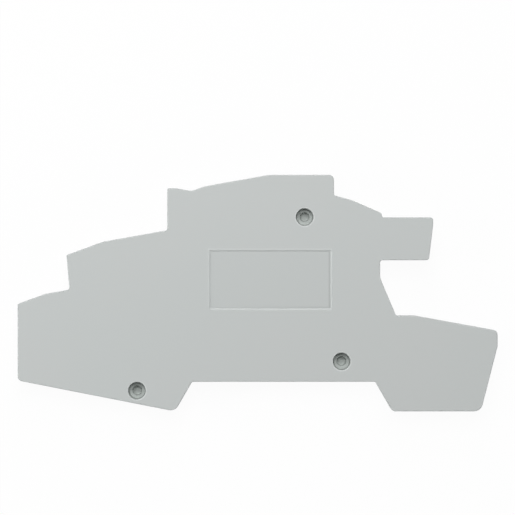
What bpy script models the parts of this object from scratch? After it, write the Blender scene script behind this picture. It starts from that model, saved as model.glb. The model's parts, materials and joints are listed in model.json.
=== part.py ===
"""End cover of a rail-mounted terminal block: one moulded plate with three cored locating pins.

Metres, +Z up. The cover lies face up on the tips of its pins: the face with the label field looks
up +Z, and the rail notch opens towards -Y. The origin is under the middle of the plate's outline,
level with the pin tips.

The outline is laid out from the mounting rail: its X runs from the rail's centre line, its Y from
the rail's top. It goes clockwise as the face is seen, starting at the tip of the left foot.
"""
import math

import bmesh
import bpy

# Plate
PLATE_THICKNESS = 0.0022
FRONT_EDGE_RADIUS = 0.0002
BACK_EDGE_BREAK = 0.00012

# Rail notch and the feet on both sides of it
NOTCH_WIDTH = 0.0360
FOOT_DEPTH = 0.00582
NOTCH_FLANK_ANGLE = 60.0
LEFT_FOOT_RISE_ANGLE = 11.1

# Left side, tier by tier: each tier starts with a steep lead and goes on with a gentle slope
LEAD_SLOPE_ANGLE = 20.0
TIER_SLOPE_ANGLE = 10.1
LEFT_END_HEIGHT = 0.01533
LOW_TIER_LENGTH = 0.0102
LOW_LEAD_LENGTH = 0.0055
LOW_STEP_HEIGHT = 0.00678
LOW_STEP_LEAN_ANGLE = 5.2
MIDDLE_TIER_LENGTH = 0.01922
MIDDLE_LEAD_LENGTH = 0.0072
HIGH_STEP_HEIGHT = 0.00827
HIGH_STEP_REACH = 0.02291

# Top, from the step to the flat: a flat crest, a shallow dip and a rise
CREST_LENGTH = 0.0017
DIP_FALL_LENGTH = 0.0031
DIP_RISE_LENGTH = 0.00255
TOP_SLOPE_LENGTH = 0.01265
TOP_RIGHT_REACH = 0.0099

# Right shoulder and the arm
SHOULDER_DROP = 0.00403
SHOULDER_LENGTH = 0.0036
SHOULDER_ANGLE = 15.0
SHOULDER_LEAD_LENGTH = 0.00572
SHOULDER_LEAD_ANGLE = 23.8
ARM_STEP_LENGTH = 0.0002
ARM_STEP_HEIGHT = 0.00084
ARM_LENGTH = 0.01044
ARM_HEIGHT = 0.00844
ARM_END_STRAIGHT = 0.0015
ARM_END_ANGLE = 7.0

# Bay under the arm
BAY_WALL_REACH = 0.01897
BAY_FLOOR_HEIGHT = 0.01305
BAY_FLANK_HEIGHT = 0.00739
BAY_FLANK_ANGLE = 67.0
BAY_FLOOR_LENGTH = 0.0036

# Right foot
RIGHT_REACH = 0.04209
RIGHT_FOOT_SLOPE_ANGLE = 10.3
RIGHT_FLANK_HEIGHT = 0.01283
RIGHT_FLANK_ANGLE = 75.6

# Fillets of the outline
FOOT_TIP_RADIUS = 0.00175
FOOT_TOE_RADIUS = 0.00115
FLANK_RADIUS = 0.0022
CORNER_RADIUS = 0.00095
ARM_RADIUS = 0.0006
CREST_RADIUS = 0.00035
ROOT_RADIUS = 0.0005
DIP_RADIUS = 0.0024
BAY_RADIUS = 0.0030
BLEND_RADIUS = 0.0060

# Locating pins: where their axes lie
UPPER_PIN_FROM_TOP = 0.00831
UPPER_PIN_FROM_SHOULDER = 0.00578
RIGHT_PIN_FROM_RAIL = 0.00402
RIGHT_PIN_FROM_NOTCH_END = 0.00661
LEFT_PIN_FROM_EDGE = 0.00261
LEFT_PIN_FROM_NOTCH_END = 0.01087

# Locating pins: the socket down their middle, the round recess over it and the pin round it
SOCKET_ACROSS_FLATS = 0.0019
SOCKET_DEPTH = 0.0011
SOCKET_DRAFT_ANGLE = 8.0
SOCKET_CORNER_CUT = 0.91
SHELF_WIDTH = 0.00042
RECESS_DEPTH = 0.0015
RECESS_DRAFT_ANGLE = 9.0
RECESS_RIM_BREAK = 0.00006
PIN_WALL = 0.00055
PIN_LENGTH = 0.0030
PIN_DRAFT_ANGLE = 1.0
PIN_TIP_RADIUS = 0.0005
PIN_ROOT_RADIUS = 0.0002

# Label field, sunk into the face
LABEL_WIDTH = 0.0243
LABEL_HEIGHT = 0.01185
LABEL_DEPTH = 0.0002
LABEL_WALL_ANGLE = 30.0
LABEL_CORNER_RADIUS = 0.0004
LABEL_RIGHT_REACH = 0.00956
LABEL_FROM_RAIL = 0.0141

# Fineness of the mesh
ARC_STEP_ANGLE = 15.0
EDGE_STEPS = 4
ROUND_SIDES = 48

# A cutter stands proud of the face that it cuts, and a joined piece reaches into the plate
OVERRUN = 0.0005

PLASTIC_COLOUR = (0.533, 0.558, 0.551)
PLASTIC_ROUGHNESS = 0.55

# Heights, from the pin tips up
BACK_HEIGHT = PIN_LENGTH
FACE_HEIGHT = BACK_HEIGHT + PLATE_THICKNESS


def slope(degrees):
    """Rise for each unit of run."""
    return math.tan(math.radians(degrees))


def foot_tip_reach():
    """Distance from the rail's centre line to the lower end of the notch's flanks."""
    return NOTCH_WIDTH / 2 + FOOT_DEPTH / slope(NOTCH_FLANK_ANGLE)


def left_foot_edge(x):
    """Height of the left foot's sloping lower edge at x."""
    return -FOOT_DEPTH + (-foot_tip_reach() - x) * slope(LEFT_FOOT_RISE_ANGLE)


def left_corners():
    """The left foot and the two lower tiers, up to the foot of the high step."""
    step_x = -HIGH_STEP_REACH - MIDDLE_TIER_LENGTH
    end_x = step_x - LOW_TIER_LENGTH

    low_lead_y = LEFT_END_HEIGHT + LOW_LEAD_LENGTH * slope(LEAD_SLOPE_ANGLE)
    low_back_y = low_lead_y + (LOW_TIER_LENGTH - LOW_LEAD_LENGTH) * slope(TIER_SLOPE_ANGLE)

    middle_y = low_back_y + LOW_STEP_HEIGHT
    lean = LOW_STEP_HEIGHT * slope(LOW_STEP_LEAN_ANGLE)
    middle_lead_x = step_x - lean + MIDDLE_LEAD_LENGTH
    middle_lead_y = middle_y + MIDDLE_LEAD_LENGTH * slope(LEAD_SLOPE_ANGLE)
    middle_back_y = middle_lead_y + (-HIGH_STEP_REACH - middle_lead_x) * slope(TIER_SLOPE_ANGLE)
    return [
        (-foot_tip_reach(), -FOOT_DEPTH, FOOT_TIP_RADIUS),
        (end_x, left_foot_edge(end_x), CORNER_RADIUS),
        (end_x, LEFT_END_HEIGHT, CREST_RADIUS),
        (end_x + LOW_LEAD_LENGTH, low_lead_y, BLEND_RADIUS),
        (step_x, low_back_y, ROOT_RADIUS),
        (step_x - lean, middle_y, CREST_RADIUS),
        (middle_lead_x, middle_lead_y, BLEND_RADIUS),
        (-HIGH_STEP_REACH, middle_back_y, ROOT_RADIUS),
    ]


def top_corners(start_y):
    """The high step, the dip and the slope up to the flat top, from the foot of the step."""
    crest_y = start_y + HIGH_STEP_HEIGHT
    crest_x = -HIGH_STEP_REACH + CREST_LENGTH
    dip_x = crest_x + DIP_FALL_LENGTH
    dip_y = crest_y - DIP_FALL_LENGTH * slope(TIER_SLOPE_ANGLE)
    rise_x = dip_x + DIP_RISE_LENGTH
    rise_y = dip_y + DIP_RISE_LENGTH * slope(LEAD_SLOPE_ANGLE)
    flat_x = rise_x + TOP_SLOPE_LENGTH
    flat_y = rise_y + TOP_SLOPE_LENGTH * slope(TIER_SLOPE_ANGLE)
    return [
        (-HIGH_STEP_REACH, crest_y, CREST_RADIUS),
        (crest_x, crest_y, DIP_RADIUS),
        (dip_x, dip_y, DIP_RADIUS),
        (rise_x, rise_y, BLEND_RADIUS),
        (flat_x, flat_y, BLEND_RADIUS),
        (TOP_RIGHT_REACH, flat_y, CORNER_RADIUS),
    ]


def right_corners(top_y):
    """The shoulder, the arm, the bay under it and the right foot, from the flat top down."""
    shoulder_y = top_y - SHOULDER_DROP
    bend_x = TOP_RIGHT_REACH + SHOULDER_LENGTH
    bend_y = shoulder_y - SHOULDER_LENGTH * slope(SHOULDER_ANGLE)
    lead_x = bend_x + SHOULDER_LEAD_LENGTH
    lead_y = bend_y - SHOULDER_LEAD_LENGTH * slope(SHOULDER_LEAD_ANGLE)
    arm_y = lead_y - ARM_STEP_HEIGHT
    arm_x = BAY_WALL_REACH + ARM_LENGTH
    under_y = arm_y - ARM_HEIGHT
    flank_x = BAY_WALL_REACH + BAY_FLANK_HEIGHT / slope(BAY_FLANK_ANGLE)
    floor_x = flank_x + BAY_FLOOR_LENGTH
    end_y = BAY_FLOOR_HEIGHT - (RIGHT_REACH - floor_x) * slope(RIGHT_FOOT_SLOPE_ANGLE)
    return [
        (TOP_RIGHT_REACH, shoulder_y, ROOT_RADIUS),
        (bend_x, bend_y, BLEND_RADIUS),
        (lead_x, lead_y, CREST_RADIUS),
        (lead_x + ARM_STEP_LENGTH, arm_y, CREST_RADIUS),
        (arm_x, arm_y, ARM_RADIUS),
        (arm_x, arm_y - ARM_END_STRAIGHT, BLEND_RADIUS),
        (arm_x - (ARM_HEIGHT - ARM_END_STRAIGHT) * slope(ARM_END_ANGLE), under_y, ARM_RADIUS),
        (BAY_WALL_REACH, under_y, ROOT_RADIUS),
        (BAY_WALL_REACH, BAY_FLOOR_HEIGHT + BAY_FLANK_HEIGHT, BAY_RADIUS),
        (flank_x, BAY_FLOOR_HEIGHT, ROOT_RADIUS),
        (floor_x, BAY_FLOOR_HEIGHT, BLEND_RADIUS),
        (RIGHT_REACH, end_y, CORNER_RADIUS),
        (RIGHT_REACH, RIGHT_FLANK_HEIGHT - FOOT_DEPTH, FLANK_RADIUS),
        (RIGHT_REACH - RIGHT_FLANK_HEIGHT / slope(RIGHT_FLANK_ANGLE), -FOOT_DEPTH, FOOT_TIP_RADIUS),
        (foot_tip_reach(), -FOOT_DEPTH, FOOT_TOE_RADIUS),
        (NOTCH_WIDTH / 2, 0.0, ROOT_RADIUS),
        (-NOTCH_WIDTH / 2, 0.0, ROOT_RADIUS),
    ]


def outline_corners():
    """All corners of the face as (x, y, fillet radius)."""
    left = left_corners()
    top = top_corners(left[-1][1])
    return left + top + right_corners(top[-1][1])


def rectangle_corners(left, bottom, width, height, radius):
    """A rectangle's corners, clockwise like the outline."""
    right = left + width
    top = bottom + height
    return [(left, bottom, radius), (left, top, radius), (right, top, radius), (right, bottom, radius)]


def inset(corners, depth):
    """The same corners after every edge moves inwards; a round corner keeps its centre."""
    moved = []
    for index, (x, y, radius) in enumerate(corners):
        before = corners[index - 1]
        after = corners[(index + 1) % len(corners)]
        come = unit(x - before[0], y - before[1])
        leave = unit(after[0] - x, after[1] - y)
        turn_right = come[1] * leave[0] - come[0] * leave[1] > 0
        share = depth / (1 + come[0] * leave[0] + come[1] * leave[1])
        new_x = x + (come[1] + leave[1]) * share
        new_y = y - (come[0] + leave[0]) * share
        new_radius = max(radius - depth, radius / 10) if turn_right else radius + depth
        moved.append((new_x, new_y, new_radius))
    return moved


def unit(x, y):
    length = math.hypot(x, y)
    return x / length, y / length


def fillet_ring(corners, height):
    """Points round a filleted polygon. Each corner becomes an arc, limited by its edges' lengths."""
    ring = []
    for index, (x, y, radius) in enumerate(corners):
        before = corners[index - 1]
        after = corners[(index + 1) % len(corners)]
        back = unit(before[0] - x, before[1] - y)
        ahead = unit(after[0] - x, after[1] - y)
        opening = math.acos(back[0] * ahead[0] + back[1] * ahead[1])
        bend = math.pi - opening
        room = min(math.dist(before[:2], (x, y)), math.dist(after[:2], (x, y))) / 2
        tangent = min(radius * math.tan(bend / 2), room)
        radius = tangent / math.tan(bend / 2)
        middle = unit(back[0] + ahead[0], back[1] + ahead[1])
        reach = math.hypot(radius, tangent)
        centre = (x + middle[0] * reach, y + middle[1] * reach)
        steps = max(2, round(math.degrees(bend) / ARC_STEP_ANGLE))
        side = -1 if back[0] * ahead[1] - back[1] * ahead[0] > 0 else 1
        for step in range(steps + 1):
            angle = side * bend * (step / steps - 0.5)
            cos, sin = math.cos(angle), math.sin(angle)
            ring.append((
                centre[0] - radius * (middle[0] * cos - middle[1] * sin),
                centre[1] - radius * (middle[1] * cos + middle[0] * sin),
                height,
            ))
    return ring


def round_ring(centre, radius, height):
    """A circle of points, clockwise as the face is seen."""
    return [
        (centre[0] + radius * math.sin(angle), centre[1] + radius * math.cos(angle), height)
        for angle in (2 * math.pi * side / ROUND_SIDES for side in range(ROUND_SIDES))
    ]


def socket_ring(centre, across_flats, height):
    """A hexagon with a corner up and a corner down, its corners cut off by a circle."""
    flat = across_flats / 2
    corner = flat / math.cos(math.pi / 6) * SOCKET_CORNER_CUT
    ring = []
    for side in range(ROUND_SIDES):
        angle = 2 * math.pi * side / ROUND_SIDES
        from_flat = angle % (math.pi / 3) - math.pi / 6
        radius = min(flat / math.cos(from_flat), corner)
        ring.append((centre[0] + radius * math.sin(angle), centre[1] + radius * math.cos(angle), height))
    return ring


def loft(mesh, rings):
    """Adds a closed body through rings of equal count, given from the bottom up, clockwise."""
    loops = [[mesh.verts.new(point) for point in ring] for ring in rings]
    for low, high in zip(loops, loops[1:]):
        for index in range(len(low)):
            mesh.faces.new((low[index - 1], high[index - 1], high[index], low[index]))
    mesh.faces.new(loops[0])
    mesh.faces.new(reversed(loops[-1]))


def add_object(name, mesh, origin):
    """Turns the mesh into an object, with the given point of the layout at the world's origin."""
    bmesh.ops.translate(mesh, verts=mesh.verts, vec=(-origin[0], -origin[1], 0.0))
    data = bpy.data.meshes.new(name)
    mesh.to_mesh(data)
    mesh.free()
    piece = bpy.data.objects.new(name, data)
    bpy.context.scene.collection.objects.link(piece)
    return piece


def plate_mesh(corners):
    """The plate: a small break round the back edge and a full rounding round the front edge."""
    rings = [
        fillet_ring(inset(corners, BACK_EDGE_BREAK), BACK_HEIGHT),
        fillet_ring(corners, BACK_HEIGHT + BACK_EDGE_BREAK),
    ]
    for step in range(EDGE_STEPS + 1):
        angle = math.pi / 2 * step / EDGE_STEPS
        depth = FRONT_EDGE_RADIUS * (1 - math.cos(angle))
        drop = FRONT_EDGE_RADIUS * (1 - math.sin(angle))
        rings.append(fillet_ring(inset(corners, depth), FACE_HEIGHT - drop))
    mesh = bmesh.new()
    loft(mesh, rings)
    return mesh


def pin_centres(corners):
    """The three pin axes, each measured from the edges of the outline next to it."""
    top_y = max(y for _, y, _ in corners)
    notch_end = NOTCH_WIDTH / 2
    left_x = -notch_end - LEFT_PIN_FROM_NOTCH_END
    return [
        (TOP_RIGHT_REACH - UPPER_PIN_FROM_SHOULDER, top_y - UPPER_PIN_FROM_TOP),
        (notch_end - RIGHT_PIN_FROM_NOTCH_END, RIGHT_PIN_FROM_RAIL),
        (left_x, left_foot_edge(left_x) + LEFT_PIN_FROM_EDGE),
    ]


def pins_mesh(centres):
    """The pins under the plate: round tip, slight draft and a small fillet at the root."""
    root_radius = SOCKET_ACROSS_FLATS / 2 / math.cos(math.pi / 6) + PIN_WALL
    tip_radius = root_radius - PIN_LENGTH * slope(PIN_DRAFT_ANGLE)
    profile = []
    for step in range(EDGE_STEPS + 1):
        angle = math.pi / 2 * step / EDGE_STEPS
        rounding = PIN_TIP_RADIUS * (1 - math.sin(angle))
        profile.append((tip_radius - rounding, PIN_TIP_RADIUS * (1 - math.cos(angle))))
    for step in range(EDGE_STEPS + 1):
        angle = math.pi / 2 * step / EDGE_STEPS
        flare = PIN_ROOT_RADIUS * (1 - math.cos(angle))
        profile.append((root_radius + flare, BACK_HEIGHT - PIN_ROOT_RADIUS * (1 - math.sin(angle))))
    profile.append((root_radius + PIN_ROOT_RADIUS, BACK_HEIGHT + OVERRUN))
    mesh = bmesh.new()
    for centre in centres:
        loft(mesh, [round_ring(centre, radius, height) for radius, height in profile])
    return mesh


def hollows_mesh(centres):
    """What is cored out of the face: the round recess and the socket over each pin."""
    shelf_height = FACE_HEIGHT - RECESS_DEPTH
    floor_height = shelf_height - SOCKET_DEPTH
    shelf_radius = SOCKET_ACROSS_FLATS / 2 / math.cos(math.pi / 6) + SHELF_WIDTH
    mouth_radius = shelf_radius + (RECESS_DEPTH - RECESS_RIM_BREAK) * slope(RECESS_DRAFT_ANGLE)
    floor_flats = SOCKET_ACROSS_FLATS - 2 * SOCKET_DEPTH * slope(SOCKET_DRAFT_ANGLE)
    mesh = bmesh.new()
    for centre in centres:
        loft(mesh, [
            socket_ring(centre, floor_flats, floor_height),
            socket_ring(centre, SOCKET_ACROSS_FLATS, shelf_height),
            round_ring(centre, shelf_radius, shelf_height),
            round_ring(centre, mouth_radius, FACE_HEIGHT - RECESS_RIM_BREAK),
            round_ring(centre, mouth_radius + RECESS_RIM_BREAK + OVERRUN, FACE_HEIGHT + OVERRUN),
        ])
    return mesh


def label_mesh():
    """What is sunk into the face for the label: a shallow tray with sloping walls."""
    left = LABEL_RIGHT_REACH - LABEL_WIDTH
    corners = rectangle_corners(left, LABEL_FROM_RAIL, LABEL_WIDTH, LABEL_HEIGHT, LABEL_CORNER_RADIUS)
    rings = [
        fillet_ring(inset(corners, (height_above_floor - LABEL_DEPTH) / -slope(LABEL_WALL_ANGLE)),
                    FACE_HEIGHT - LABEL_DEPTH + height_above_floor)
        for height_above_floor in (0.0, LABEL_DEPTH + OVERRUN)
    ]
    mesh = bmesh.new()
    loft(mesh, rings)
    return mesh


def cut_or_join(target, tool, operation):
    """Puts a hidden body into the target with a Boolean modifier."""
    tool.hide_render = True
    tool.display_type = "WIRE"
    modifier = target.modifiers.new(tool.name, "BOOLEAN")
    modifier.operation = operation
    modifier.object = tool
    modifier.solver = "EXACT"


def plastic_material():
    material = bpy.data.materials.new("grey_plastic")
    material.use_nodes = True
    shader = material.node_tree.nodes["Principled BSDF"]
    shader.inputs["Base Color"].default_value = (*PLASTIC_COLOUR, 1.0)
    shader.inputs["Roughness"].default_value = PLASTIC_ROUGHNESS
    shader.inputs["Metallic"].default_value = 0.0
    return material


def main():
    for old in list(bpy.data.objects):
        bpy.data.objects.remove(old)

    corners = outline_corners()
    ring = fillet_ring(corners, 0.0)
    across = [point[0] for point in ring]
    along = [point[1] for point in ring]
    origin = ((min(across) + max(across)) / 2, (min(along) + max(along)) / 2)
    centres = pin_centres(corners)

    cover = add_object("end_cover", plate_mesh(corners), origin)
    cut_or_join(cover, add_object("pin_bodies", pins_mesh(centres), origin), "UNION")
    cut_or_join(cover, add_object("cored_hollows", hollows_mesh(centres), origin), "DIFFERENCE")
    cut_or_join(cover, add_object("label_tray", label_mesh(), origin), "DIFFERENCE")
    cover.data.materials.append(plastic_material())
    cover.data.shade_smooth()
    cover.data.set_sharp_from_angle(angle=math.radians(30))


main()
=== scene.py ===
"""Looks of the terminal block end cover: the moulded grey plastic, a white table and soft light.

Metres and degrees, +Z up. The cover lies face up on its pins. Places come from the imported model:
its mounts give the pin axes and heights, its mesh the sizes of the recesses and the label tray.
"""

import json
import math

import bmesh
import bpy
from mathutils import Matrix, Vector


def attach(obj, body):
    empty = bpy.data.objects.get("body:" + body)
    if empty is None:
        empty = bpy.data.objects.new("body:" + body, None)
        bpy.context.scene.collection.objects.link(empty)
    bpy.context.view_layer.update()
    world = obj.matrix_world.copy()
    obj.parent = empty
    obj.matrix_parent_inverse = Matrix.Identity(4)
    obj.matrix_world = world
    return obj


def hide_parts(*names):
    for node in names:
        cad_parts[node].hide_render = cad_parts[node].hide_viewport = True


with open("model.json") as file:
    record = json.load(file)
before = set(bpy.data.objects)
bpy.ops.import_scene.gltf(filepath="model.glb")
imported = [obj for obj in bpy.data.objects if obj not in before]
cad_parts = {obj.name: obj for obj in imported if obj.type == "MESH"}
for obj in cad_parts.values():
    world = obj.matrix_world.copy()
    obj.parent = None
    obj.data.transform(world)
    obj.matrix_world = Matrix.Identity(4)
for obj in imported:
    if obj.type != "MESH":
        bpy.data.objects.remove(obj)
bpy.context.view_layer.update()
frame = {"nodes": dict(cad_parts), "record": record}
MOULDING = frame["nodes"]["end_cover"].data

# The photograph: its width in pixels, its scale at the face and the middle of the object in it
PHOTO_SIZE = 515
PIXELS_PER_METRE = 5086.0
OBJECT_MIDDLE_X = 257.65
OBJECT_MIDDLE_Y = 293.1

# Camera
CAMERA_DISTANCE = 0.55
SENSOR_WIDTH = 0.036
MILLIMETRES_PER_METRE = 1000
CLIP_START = 0.01
CLIP_END = 10.0

# Limits for finding the recess rim, and the label tray's mouth and floor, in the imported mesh
RECESS_REACH = 0.0025
LABEL_WALL_REACH = 0.001
LEVEL_NORMAL = 0.999

# Edges of the moulding
WELD_DISTANCE = 1e-6
FLAT_ANGLE = 0.4
SHARP_ANGLE = 28.0
EDGE_ROUND = 0.00004
EDGE_SEGMENTS = 2
EDGE_PROFILE = 0.5
SMOOTH_ANGLE = 25.0

# Moulded colour: a cool and a warm shade, and the clouds that mix them
WHITE = (1.0, 1.0, 1.0)
COOL_COLOUR = (0.513, 0.544, 0.537)
WARM_COLOUR = (0.531, 0.548, 0.541)
FLOW_SIZE = 0.022
FLOW_DETAIL = 3.0

# Label tray's shade: its soft edge, where it starts below the floor and ends below the face
LABEL_SHADE = 0.975
LABEL_FRINGE = 0.00005
LABEL_BELOW_FLOOR = 0.0002
LABEL_BELOW_FACE = 0.00001

# Painted shadow: a dark line at the tray's right and lower foot, the lower one full this many half
# lengths to the right
LABEL_FOOT_PAINTED_SHADOW = 0.82
LABEL_FOOT_PLACE = 0.0002
LABEL_FOOT_WIDTH = 0.0005
BASE_FOOT_REACH = 2.5

# Painted highlight along the tray's edge, beside and above it: its shift to the left, and its offsets
# from the mouth in X and Y
LABEL_LIP_PAINTED_HIGHLIGHT = 1.14
LABEL_LIP_SHIFT = 0.00012
LABEL_LIP_OUT_X = -0.00009
LABEL_LIP_OUT_Y = 0.00014
LABEL_LIP_WIDTH = 0.00018
LABEL_LIP_END_SHARE = 0.9
LABEL_LIP_RISE = 0.0001

# Pale ring round each recess, a painted highlight; the depths where it ends and is full, and the soft
# rounding there
RIM_PAINTED_HIGHLIGHT = 1.15
RIM_WIDTH = 0.00011
RIM_FRINGE = 0.0001
RIM_END_DEPTH = 0.00008
RIM_FULL_DEPTH = 0.00002
RIM_ROUND_WIDTH = 0.00016
RIM_ROUND_DEPTH = 0.00002

# Cored surfaces: a painted tint of bounced light, painted shade on the walls, soft edge, and how far
# inside the plate's faces they set in
CORED_PAINTED_BOUNCE_TINT = (0.98, 1.005, 0.98)
SOCKET_WALL_PAINTED_SHADE = 0.80
RECESS_WALL_PAINTED_SHADE = 0.58
CORED_FRINGE = 0.0001
CORED_START_DEPTH = 0.0001
CORED_FULL_DEPTH = 0.0003

# Shares of the recess radius: walls inside the first are the socket's, outside the second the recess's
SOCKET_SHARE = 0.75
RECESS_WALL_SHARE = 0.85

# Shares of the pin's length, up from its tip, between which the finish of its socket sets in
PIN_START_SHARE = 0.3
PIN_FULL_SHARE = 0.5

# Upward part of the normal: above the first a surface counts as level, below the second as a wall
LEVEL_FACING = 0.8
WALL_FACING = 0.4

# Finish: fine grain on the face, smoother in the label tray and on cored surfaces
FACE_ROUGHNESS = 0.60
ROUGHNESS_SPREAD = 0.03
CORED_ROUGHNESS = 0.52
LABEL_SMOOTHNESS = 0.5
GRAIN_SIZE = 0.00012
GRAIN_HARSHNESS = 0.6
GRAIN_DEPTH = 0.000004

# Table: the share of plain white in what the camera sees, the rest shows the cover's soft shadow
TABLE_SIDE = 3.0
TABLE_SHADE = 0.90
TABLE_WHITE_SHARE = 0.955

# Light: a dim sky over a bright horizon, a wide soft box high at the back, small ones left and back
SKY_LIGHT = 0.046
HORIZON_LIGHT = 0.865
HORIZON_LOW = 0.34
HORIZON_HIGH = 0.55
HORIZON_TILT = (0.44, -0.78, 0.0)
KEY_PLACE = (-0.055, 0.35, 0.66)
KEY_WIDTH = 0.58
KEY_DEPTH = 0.42
KEY_POWER = 3.65
LEFT_PLACE = (-0.39, 0.0, 0.158)
LEFT_WIDTH = 0.12
LEFT_POWER = 0.50
BACK_PLACE = (0.0, 0.433, 0.25)
BACK_WIDTH = 0.14
BACK_POWER = 0.58

mounts = {mount["name"]: Vector(mount["pos_m"]) for mount in frame["record"]["mounts"]}
PIN_AXES = [mounts[name] for name in ("upper_pin_tip", "right_pin_tip", "left_pin_tip")]
FACE_HEIGHT = mounts["front_face"].z
LABEL_HEIGHT = mounts["label_field"].z
BACK_HEIGHT = mounts["back_face"].z


def recess_radius():
    """Radius of the round recesses at the face."""
    axis = PIN_AXES[0]
    distances = [
        (vertex.co.xy - axis.xy).length for vertex in MOULDING.vertices
        if abs(vertex.co.z - FACE_HEIGHT) < WELD_DISTANCE
    ]
    return max(distance for distance in distances if distance < RECESS_REACH)


def label_sizes():
    """Half the length and half the height of the label tray's floor, and the width of its wall."""
    middle = mounts["label_field"]
    offsets = [vertex.co - middle for vertex in MOULDING.vertices]
    floor = [
        offsets[index] for face in MOULDING.polygons for index in face.vertices
        if face.normal.z > LEVEL_NORMAL and abs(face.center.z - LABEL_HEIGHT) < WELD_DISTANCE
    ]
    half_x = max(offset.x for offset in floor)
    half_y = max(offset.y for offset in floor)
    mouth = [
        offset.x for offset in offsets
        if half_x < offset.x < half_x + LABEL_WALL_REACH and abs(offset.y) < half_y + LABEL_WALL_REACH
    ]
    return half_x, half_y, max(mouth) - half_x


def dressed_moulding():
    """A copy of the moulding with welded faces, finely rounded edges and smooth shading."""
    mesh = bmesh.new()
    mesh.from_mesh(MOULDING)
    bmesh.ops.remove_doubles(mesh, verts=mesh.verts, dist=WELD_DISTANCE)
    bmesh.ops.dissolve_limit(
        mesh, angle_limit=math.radians(FLAT_ANGLE), verts=mesh.verts, edges=mesh.edges,
    )
    sharp = [edge for edge in mesh.edges if edge.calc_face_angle(0.0) > math.radians(SHARP_ANGLE)]
    bmesh.ops.bevel(
        mesh, geom=sharp, offset=EDGE_ROUND, offset_type="OFFSET", segments=EDGE_SEGMENTS,
        profile=EDGE_PROFILE, affect="EDGES", clamp_overlap=True,
    )
    data = bpy.data.meshes.new("end_cover_moulding")
    mesh.to_mesh(data)
    mesh.free()
    data.shade_smooth()
    data.set_sharp_from_angle(angle=math.radians(SMOOTH_ANGLE))
    piece = bpy.data.objects.new("end_cover_moulding", data)
    bpy.context.scene.collection.objects.link(piece)
    normals = piece.modifiers.new("even_normals", "WEIGHTED_NORMAL")
    normals.keep_sharp = True
    return piece


class Shading:
    """Short calls for building a node material."""

    def __init__(self, tree):
        self.tree = tree

    def add(self, kind, **inputs):
        node = self.tree.nodes.new(kind)
        for name, value in inputs.items():
            self.feed(node.inputs[name.replace("_", " ")], value)
        return node

    def feed(self, socket, value):
        if isinstance(value, bpy.types.NodeSocket):
            self.tree.links.new(value, socket)
        else:
            socket.default_value = value

    def math(self, operation, first, second=0.0):
        node = self.tree.nodes.new("ShaderNodeMath")
        node.operation = operation
        self.feed(node.inputs[0], first)
        self.feed(node.inputs[1], second)
        return node.outputs[0]

    def vector(self, operation, first, second=(0.0, 0.0, 0.0)):
        node = self.tree.nodes.new("ShaderNodeVectorMath")
        node.operation = operation
        self.feed(node.inputs[0], first)
        self.feed(node.inputs[1], second)
        return node.outputs["Value" if operation in ("DISTANCE", "DOT_PRODUCT") else "Vector"]

    def scaled(self, vector, factor):
        node = self.tree.nodes.new("ShaderNodeVectorMath")
        node.operation = "SCALE"
        self.feed(node.inputs[0], vector)
        self.feed(node.inputs["Scale"], factor)
        return node.outputs["Vector"]

    def mixed_colour(self, factor, first, second):
        node = self.tree.nodes.new("ShaderNodeMix")
        node.data_type = "RGBA"
        self.feed(node.inputs["Factor"], factor)
        self.feed(node.inputs["A"], (*first, 1.0))
        self.feed(node.inputs["B"], (*second, 1.0))
        return node.outputs["Result"]

    def mixed_shader(self, factor, first, second):
        node = self.tree.nodes.new("ShaderNodeMixShader")
        self.feed(node.inputs[0], factor)
        self.feed(node.inputs[1], first.outputs[0])
        self.feed(node.inputs[2], second.outputs[0])
        return node

    def ramp(self, value, low, high):
        """0 at low, 1 at high, smooth between."""
        node = self.tree.nodes.new("ShaderNodeMapRange")
        node.interpolation_type = "SMOOTHSTEP"
        self.feed(node.inputs["Value"], value)
        node.inputs["From Min"].default_value = low
        node.inputs["From Max"].default_value = high
        return node.outputs["Result"]

    def band(self, value, low, middle, high):
        """1 at middle, 0 at low and high, smooth between."""
        return self.math("MULTIPLY", self.ramp(value, low, middle), self.ramp(value, high, middle))

    def noise(self, position, size, detail=2.0, roughness=0.5):
        """Soft noise with features of about the given size in metres."""
        node = self.add(
            "ShaderNodeTexNoise", Vector=position, Scale=1.0 / size, Detail=detail, Roughness=roughness,
        )
        return node.outputs["Fac"]

    def seen_directly(self):
        """1 for what the camera sees straight, in a gloss or through something clear, else 0."""
        rays = self.tree.nodes.new("ShaderNodeLightPath").outputs
        seen = self.math("MAXIMUM", rays["Is Camera Ray"], rays["Is Glossy Ray"])
        return self.math("MAXIMUM", seen, rays["Is Transmission Ray"])


def new_material(name):
    material = bpy.data.materials.new(name)
    material.use_nodes = True
    return material


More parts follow.
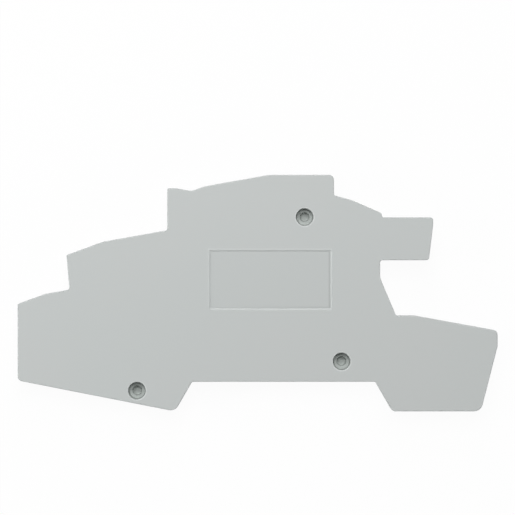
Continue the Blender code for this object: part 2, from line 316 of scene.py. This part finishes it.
def plastic(recess, label):
    """Fine spark-eroded plastic, smoother in the cored recesses and the label tray."""
    material = new_material("moulded_grey_plastic")
    s = Shading(material.node_tree)
    shader = s.tree.nodes["Principled BSDF"]
    coordinates = s.add("ShaderNodeTexCoord").outputs
    position = coordinates["Object"]
    height = s.add("ShaderNodeSeparateXYZ", Vector=position).outputs["Z"]
    facing_up = s.add("ShaderNodeSeparateXYZ", Vector=coordinates["Normal"]).outputs["Z"]
    flat_position = s.vector("MULTIPLY", position, (1.0, 1.0, 0.0))

    # Melt that flowed through the mould leaves faint cooler and warmer clouds
    colour = s.mixed_colour(s.noise(position, FLOW_SIZE, detail=FLOW_DETAIL), COOL_COLOUR, WARM_COLOUR)

    # Distance from the nearest pin axis
    reaches = [s.vector("DISTANCE", flat_position, (axis.x, axis.y, 0.0)) for axis in PIN_AXES]
    nearest = s.math("MINIMUM", s.math("MINIMUM", reaches[0], reaches[1]), reaches[2])
    at_face = s.ramp(height, FACE_HEIGHT - RIM_END_DEPTH, FACE_HEIGHT - RIM_FULL_DEPTH)
    # A painted highlight: a pale ring round each recess rim, lighter colour where light would catch the
    # rim
    painted_rim_ring = s.math(
        "MULTIPLY", s.ramp(nearest, recess - RIM_FRINGE, recess),
        s.ramp(nearest, recess + 2 * RIM_WIDTH, recess + RIM_WIDTH),
    )
    painted_rim_ring = s.math("MULTIPLY", painted_rim_ring, at_face)
    cored = s.math(
        "MULTIPLY", s.ramp(nearest, recess + CORED_FRINGE, recess - CORED_FRINGE),
        s.ramp(height, FACE_HEIGHT - CORED_START_DEPTH, FACE_HEIGHT - CORED_FULL_DEPTH),
    )
    # The socket reaches down into the pin, whose own outside and tip have the plain finish
    in_plate = s.ramp(height, BACK_HEIGHT + CORED_START_DEPTH, BACK_HEIGHT + CORED_FULL_DEPTH)
    in_pin = s.math(
        "MULTIPLY", s.ramp(nearest, recess * RECESS_WALL_SHARE, recess * SOCKET_SHARE),
        s.ramp(height, BACK_HEIGHT * PIN_START_SHARE, BACK_HEIGHT * PIN_FULL_SHARE),
    )
    cored = s.math("MULTIPLY", cored, s.math("MAXIMUM", in_plate, in_pin))

    # Label tray: how far a point lies inside its floor
    middle = mounts["label_field"]
    offset = s.vector("SUBTRACT", position, (middle.x, middle.y, 0.0))
    to_right, to_top, _ = s.add("ShaderNodeSeparateXYZ", Vector=offset).outputs
    offset = s.vector("ABSOLUTE", offset)
    half_x, half_y, wall_width = label
    inside = s.vector("SUBTRACT", (half_x, half_y, 1.0), offset)
    inside = s.add("ShaderNodeSeparateXYZ", Vector=inside).outputs
    margin = s.math("MINIMUM", inside["X"], inside["Y"])
    in_label = s.math(
        "MULTIPLY", s.ramp(margin, -LABEL_FRINGE, LABEL_FRINGE),
        s.band(height, LABEL_HEIGHT - LABEL_BELOW_FLOOR, LABEL_HEIGHT, FACE_HEIGHT - LABEL_BELOW_FACE),
    )
    # A painted shadow: a dark line along the foot of the tray's right and lower walls
    right_foot_shadow = s.band(s.math("SUBTRACT", half_x, to_right), 0.0, LABEL_FOOT_PLACE, LABEL_FOOT_WIDTH)
    base_foot_shadow = s.band(s.math("ADD", half_y, to_top), 0.0, LABEL_FOOT_PLACE, LABEL_FOOT_WIDTH)
    base_foot_shadow = s.math("MULTIPLY", base_foot_shadow, s.ramp(to_right, -half_x, BASE_FOOT_REACH * half_x))
    painted_foot_shadow = s.math("MULTIPLY", in_label, s.math("MAXIMUM", right_foot_shadow, base_foot_shadow))
    # A painted highlight along the tray's edge, beside and above it, none along its base
    aside = s.math("ABSOLUTE", s.math("ADD", to_right, LABEL_LIP_SHIFT))
    aside = s.math("SUBTRACT", aside, half_x + wall_width + LABEL_LIP_OUT_X)
    above = s.math("SUBTRACT", to_top, half_y + wall_width + LABEL_LIP_OUT_Y)
    painted_edge_highlight = s.band(s.math("MAXIMUM", aside, above), -LABEL_LIP_WIDTH, 0.0, LABEL_LIP_WIDTH)
    painted_edge_highlight = s.math("MULTIPLY", painted_edge_highlight, s.ramp(to_top, -half_y, -LABEL_LIP_END_SHARE * half_y))
    painted_edge_highlight = s.math("MULTIPLY", painted_edge_highlight, s.ramp(height, LABEL_HEIGHT, LABEL_HEIGHT + LABEL_LIP_RISE))

    # Shade: painted highlights round the rims and beside the tray, the tray's own tone, and a painted
    # shadow at its foot
    shade = s.math("ADD", 1.0, s.math("MULTIPLY", painted_rim_ring, RIM_PAINTED_HIGHLIGHT - 1.0))
    shade = s.math("ADD", shade, s.math("MULTIPLY", in_label, LABEL_SHADE - 1.0))
    shade = s.math("ADD", shade, s.math("MULTIPLY", painted_edge_highlight, LABEL_LIP_PAINTED_HIGHLIGHT - 1.0))
    shade = s.math("ADD", shade, s.math("MULTIPLY", painted_foot_shadow, LABEL_FOOT_PAINTED_SHADOW - 1.0))
    # Painted shade on the walls of the recesses and sockets, darkest on the recess walls
    painted_shade_walls = s.math("MULTIPLY", cored, s.ramp(facing_up, LEVEL_FACING, WALL_FACING))
    outer = s.ramp(nearest, recess * SOCKET_SHARE, recess * RECESS_WALL_SHARE)
    painted_wall_darkening = s.math("MULTIPLY", outer, RECESS_WALL_PAINTED_SHADE - SOCKET_WALL_PAINTED_SHADE)
    painted_wall_darkening = s.math("ADD", painted_wall_darkening, SOCKET_WALL_PAINTED_SHADE - 1.0)
    shade = s.math("ADD", shade, s.math("MULTIPLY", painted_shade_walls, painted_wall_darkening))
    # A painted tint of light bounced between the cored walls, greener and a little darker
    colour = s.vector("MULTIPLY", colour, s.mixed_colour(cored, WHITE, CORED_PAINTED_BOUNCE_TINT))
    s.feed(shader.inputs["Base Color"], s.scaled(colour, shade))

    # Grain of the mould, gone where a polished core formed the wall
    grain = s.noise(position, GRAIN_SIZE, roughness=GRAIN_HARSHNESS)
    smooth = s.math("MAXIMUM", cored, s.math("MULTIPLY", in_label, LABEL_SMOOTHNESS))
    roughness = s.math("MULTIPLY", grain, 2 * ROUGHNESS_SPREAD)
    roughness = s.math("ADD", FACE_ROUGHNESS - ROUGHNESS_SPREAD, roughness)
    roughness = s.math("ADD", roughness, s.math("MULTIPLY", smooth, CORED_ROUGHNESS - FACE_ROUGHNESS))
    s.feed(shader.inputs["Roughness"], roughness)
    bump = s.add("ShaderNodeBump", Height=grain, Distance=GRAIN_DEPTH)
    s.feed(bump.inputs["Strength"], s.math("SUBTRACT", 1.0, smooth))

    # The face falls away softly towards the recesses
    fall = s.math("MULTIPLY", s.ramp(nearest, recess + RIM_ROUND_WIDTH, recess), in_plate)
    round_rim = s.add("ShaderNodeBump", Height=fall, Distance=RIM_ROUND_DEPTH)
    round_rim.invert = True
    s.feed(bump.inputs["Normal"], round_rim.outputs["Normal"])
    s.feed(shader.inputs["Normal"], bump.outputs["Normal"])
    return material


def white_table():
    """A white top that stays white to the camera and still shows the cover's soft shadow."""
    material = new_material("white_table")
    s = Shading(material.node_tree)
    s.tree.nodes.remove(s.tree.nodes["Principled BSDF"])
    matt = s.add("ShaderNodeBsdfDiffuse", Color=(TABLE_SHADE, TABLE_SHADE, TABLE_SHADE, 1.0))
    white = s.add("ShaderNodeEmission")
    share = s.math("MULTIPLY", s.seen_directly(), TABLE_WHITE_SHARE)
    surface = s.mixed_shader(share, matt, white)
    s.feed(s.tree.nodes["Material Output"].inputs["Surface"], surface.outputs[0])
    return material


def make_table():
    """A wide flat top under the tips of the pins."""
    mesh = bmesh.new()
    bmesh.ops.create_grid(mesh, x_segments=1, y_segments=1, size=TABLE_SIDE / 2)
    data = bpy.data.meshes.new("table")
    mesh.to_mesh(data)
    mesh.free()
    table = bpy.data.objects.new("table", data)
    table.data.materials.append(white_table())
    bpy.context.scene.collection.objects.link(table)


def make_world():
    """A dim sky over a bright horizon, brightest at the front right, plain white where it is seen."""
    world = bpy.data.worlds.new("studio")
    world.use_nodes = True
    s = Shading(world.node_tree)
    direction = s.add("ShaderNodeTexCoord").outputs["Generated"]
    height = s.add("ShaderNodeSeparateXYZ", Vector=direction).outputs["Z"]
    low = s.ramp(height, HORIZON_HIGH, HORIZON_LOW)
    tilt = s.math("ADD", 1.0, s.vector("DOT_PRODUCT", direction, HORIZON_TILT))
    low = s.math("MULTIPLY", low, s.math("MULTIPLY", tilt, HORIZON_LIGHT - SKY_LIGHT))
    light = s.math("ADD", SKY_LIGHT, low)
    fill = s.tree.nodes["Background"]
    s.feed(fill.inputs["Color"], (*WHITE, 1.0))
    s.feed(fill.inputs["Strength"], light)
    white = s.add("ShaderNodeBackground", Color=(*WHITE, 1.0), Strength=1.0)
    surface = s.mixed_shader(s.seen_directly(), fill, white)
    s.feed(s.tree.nodes["World Output"].inputs["Surface"], surface.outputs[0])
    bpy.context.scene.world = world


def make_lamp(name, place, width, depth, power):
    """A soft box that looks at the middle of the cover."""
    data = bpy.data.lights.new(name, "AREA")
    data.shape = "RECTANGLE"
    data.size = width
    data.size_y = depth
    data.energy = power
    lamp = bpy.data.objects.new(name, data)
    lamp.location = place
    lamp.rotation_euler = (-Vector(place)).to_track_quat("-Z", "Y").to_euler()
    bpy.context.scene.collection.objects.link(lamp)


def make_camera():
    """Straight over the cover, framed as the photograph."""
    data = bpy.data.cameras.new("camera")
    data.sensor_width = SENSOR_WIDTH * MILLIMETRES_PER_METRE
    data.lens = data.sensor_width * CAMERA_DISTANCE / (PHOTO_SIZE / PIXELS_PER_METRE)
    data.clip_start = CLIP_START
    data.clip_end = CLIP_END
    camera = bpy.data.objects.new("camera", data)
    camera.location = (
        (PHOTO_SIZE / 2 - OBJECT_MIDDLE_X) / PIXELS_PER_METRE,
        (OBJECT_MIDDLE_Y - PHOTO_SIZE / 2) / PIXELS_PER_METRE,
        FACE_HEIGHT + CAMERA_DISTANCE,
    )
    bpy.context.scene.collection.objects.link(camera)
    bpy.context.scene.camera = camera


cover = dressed_moulding()
cover.data.materials.append(plastic(recess_radius(), label_sizes()))
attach(cover, "root")
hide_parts("end_cover")

make_table()
make_world()
make_lamp("key", KEY_PLACE, KEY_WIDTH, KEY_DEPTH, KEY_POWER)
make_lamp("left", LEFT_PLACE, LEFT_WIDTH, LEFT_WIDTH, LEFT_POWER)
make_lamp("back", BACK_PLACE, BACK_WIDTH, BACK_WIDTH, BACK_POWER)
make_camera()

bpy.context.scene.view_settings.view_transform = "Standard"
